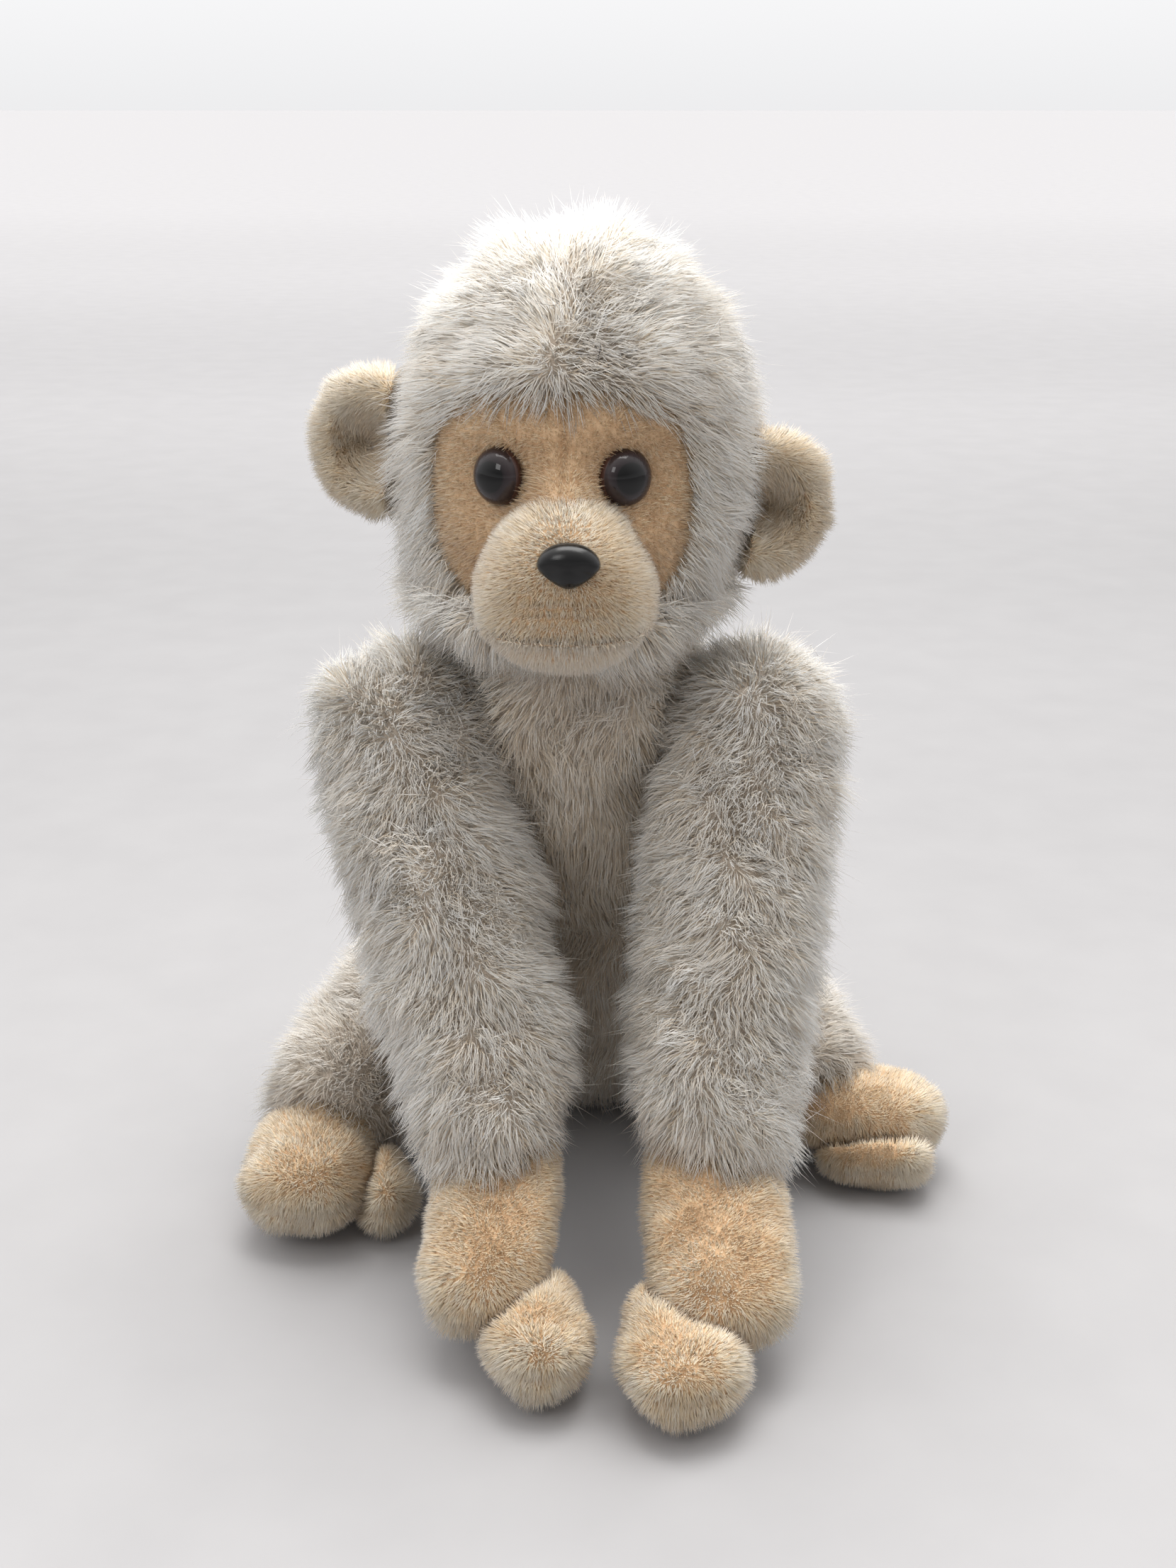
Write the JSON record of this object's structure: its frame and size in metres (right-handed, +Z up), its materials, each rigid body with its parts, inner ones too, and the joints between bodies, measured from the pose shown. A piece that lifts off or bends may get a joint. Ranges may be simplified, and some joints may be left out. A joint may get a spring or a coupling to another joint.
{
  "type": "stuffed monkey",
  "caption": "Sitting stuffed monkey with long grey-white fur, tan face, ears, hands and feet, leaning on long arms that swing at sewn joints.",
  "frame": {"origin": "centre of the flat seat, on the surface the toy sits on", "axes": "+Z up, -Y the way the face looks, +X the monkey's left"},
  "size_m": [0.1979, 0.2214, 0.265],
  "materials": {
    "long_fur": "long soft pile",
    "short_plush": "short dense pile",
    "chin_plush": "short dense pile",
    "stuffing": "loose polyester fibre",
    "eye": "polished, dark brown with a black pupil",
    "nose": "polished black",
    "washer": "moulded"
  },
  "bodies": {
    "torso": {"torso_front": "long_fur", "torso_back_left": "long_fur", "torso_back_right": "long_fur", "torso_fill": "stuffing"},
    "head": {"hood_left": "long_fur", "hood_right": "long_fur", "face_left": "short_plush", "face_right": "short_plush", "muzzle": "short_plush", "chin": "chin_plush", "muzzle_fill": "stuffing", "head_fill": "stuffing", "nose": "nose", "nose_washer": "washer", "ear_front_left": "short_plush", "ear_back_left": "short_plush", "eye_left": "eye", "eye_washer_left": "washer", "ear_front_right": "short_plush", "ear_back_right": "short_plush", "eye_right": "eye", "eye_washer_right": "washer"},
    "arm_left": {"arm_left": "long_fur", "arm_fill_left": "stuffing"},
    "hand_left": {"hand_back_left": "short_plush", "hand_palm_left": "short_plush", "hand_fill_left": "stuffing", "thumb_left": "short_plush"},
    "leg_left": {"leg_left": "long_fur", "leg_fill_left": "stuffing"},
    "foot_left": {"foot_top_left": "short_plush", "foot_sole_left": "short_plush", "foot_fill_left": "stuffing", "big_toe_left": "short_plush"},
    "arm_right": {"arm_right": "long_fur", "arm_fill_right": "stuffing"},
    "hand_right": {"hand_back_right": "short_plush", "hand_palm_right": "short_plush", "hand_fill_right": "stuffing", "thumb_right": "short_plush"},
    "leg_right": {"leg_right": "long_fur", "leg_fill_right": "stuffing"},
    "foot_right": {"foot_top_right": "short_plush", "foot_sole_right": "short_plush", "foot_fill_right": "stuffing", "big_toe_right": "short_plush"}
  },
  "joints": [
    {"name": "head_turn", "type": "hinge", "parent": "torso", "child": "head", "pos_m": [0, -0.055, 0.16], "axis": [0, 0, 1], "range_deg": [-40, 40]},
    {"name": "shoulder_left", "type": "hinge", "parent": "torso", "child": "arm_left", "pos_m": [0.046, -0.06, 0.134], "axis": [-1, 0, 0], "range_deg": [0, 50]},
    {"name": "wrist_left", "type": "hinge", "parent": "arm_left", "child": "hand_left", "pos_m": [0.033, -0.118, 0.038], "axis": [-1, 0, 0], "range_deg": [0, 25]},
    {"name": "hip_left", "type": "hinge", "parent": "torso", "child": "leg_left", "pos_m": [0.047, -0.008, 0.031], "axis": [0, 0, 1], "range_deg": [0, 35]},
    {"name": "ankle_left", "type": "hinge", "parent": "leg_left", "child": "foot_left", "pos_m": [0.068, -0.059, 0.022], "axis": [0, -1, 0], "range_deg": [0, 20]},
    {"name": "shoulder_right", "type": "hinge", "parent": "torso", "child": "arm_right", "pos_m": [-0.046, -0.06, 0.134], "axis": [-1, 0, 0], "range_deg": [0, 50]},
    {"name": "wrist_right", "type": "hinge", "parent": "arm_right", "child": "hand_right", "pos_m": [-0.017, -0.118, 0.038], "axis": [-1, 0, 0], "range_deg": [0, 25]},
    {"name": "hip_right", "type": "hinge", "parent": "torso", "child": "leg_right", "pos_m": [-0.047, -0.01, 0.034], "axis": [0, 0, -1], "range_deg": [0, 35]},
    {"name": "ankle_right", "type": "hinge", "parent": "leg_right", "child": "foot_right", "pos_m": [-0.072, -0.076, 0.022], "axis": [-1, 0, 0], "range_deg": [0, 20]}
  ]
}
